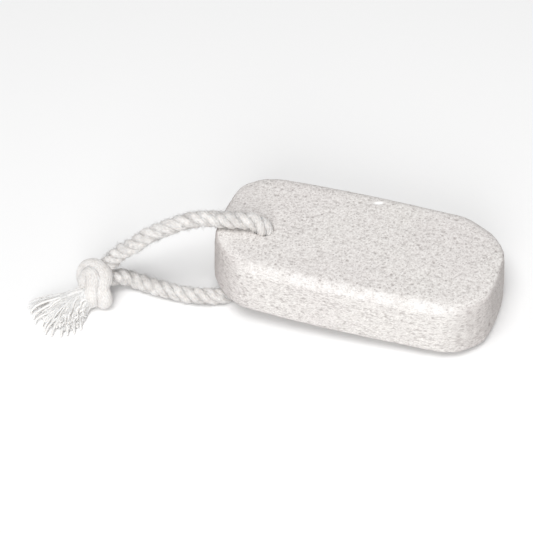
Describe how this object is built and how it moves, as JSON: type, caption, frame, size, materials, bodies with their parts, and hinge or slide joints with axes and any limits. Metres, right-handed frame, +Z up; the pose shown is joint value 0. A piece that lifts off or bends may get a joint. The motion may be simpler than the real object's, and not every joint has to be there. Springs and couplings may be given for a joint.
{
  "type": "pumice stone on a cord",
  "caption": "Oblong pumice bar with rounded corners, drilled near one end and threaded with a knotted loop of twisted cotton cord.",
  "frame": {"origin": "on the surface the object lies on, under the centre of the pumice bar's own box", "axes": "+X along the bar away from its drilled end, +Y across it, +Z up; the bar leans 4.65 degrees, down towards its +X +Y corner, because a strand of its cord lies under the opposite corner"},
  "size_m": [0.1591, 0.0728, 0.0333],
  "materials": {
    "pumice": "matt, fine-pored",
    "cotton": "soft twisted yarn"
  },
  "bodies": {
    "root": {"pumice_bar": "pumice", "cord": "cotton", "cord_knot": "cotton", "cord_tassel": "cotton"}
  },
  "joints": []
}
